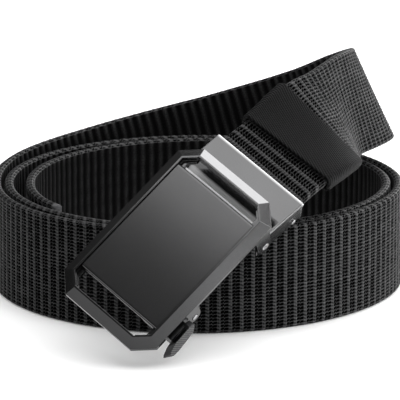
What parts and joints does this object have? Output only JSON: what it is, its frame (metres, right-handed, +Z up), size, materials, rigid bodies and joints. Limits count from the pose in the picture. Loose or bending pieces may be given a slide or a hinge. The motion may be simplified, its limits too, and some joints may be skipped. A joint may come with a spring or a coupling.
{
  "type": "ratchet belt",
  "caption": "Ribbed webbing belt coiled on its edge, with a ratchet buckle: sloping-rim frame, glossy plate, hinged clamp, keeper loop and release lever.",
  "frame": {"origin": "under the middle of the whole belt's box, on the surface that the coil stands on", "axes": "+Z up, along the coil's axis; +Y away from the buckle, along the longest extent; +X to the right as the buckle is faced"},
  "size_m": [0.1406, 0.1876, 0.0778],
  "materials": {
    "webbing": "black ribbed nylon webbing",
    "elastic": "black twill elastic",
    "frame_metal": "glossy gunmetal plating",
    "plate_metal": "polished dark plate",
    "clamp_metal": "satin gunmetal",
    "dark_metal": "dark satin metal",
    "pin_metal": "bright steel pin"
  },
  "bodies": {
    "belt": {"strap": "webbing", "keeper_loop": "elastic", "clamp_housing": "clamp_metal", "clamp_jaw": "dark_metal", "jaw_pin": "pin_metal", "hinge_pin": "pin_metal"},
    "buckle": {"buckle_frame": "frame_metal", "face_plate": "plate_metal", "lever_pin": "pin_metal"},
    "lever": {"release_lever": "dark_metal"}
  },
  "joints": [
    {"name": "buckle_hinge", "type": "hinge", "parent": "belt", "child": "buckle", "pos_m": [0.0071, -0.0591, 0.04343], "axis": [0.7257, -0.4672, -0.5051], "range_deg": [-30, 0]},
    {"name": "lever_hinge", "type": "hinge", "parent": "buckle", "child": "lever", "pos_m": [-0.01524, -0.07305, 0.02423], "axis": [0.7257, -0.4672, -0.5051], "range_deg": [-8, 0], "stiffness_Nm_per_rad": 0.01}
  ]
}
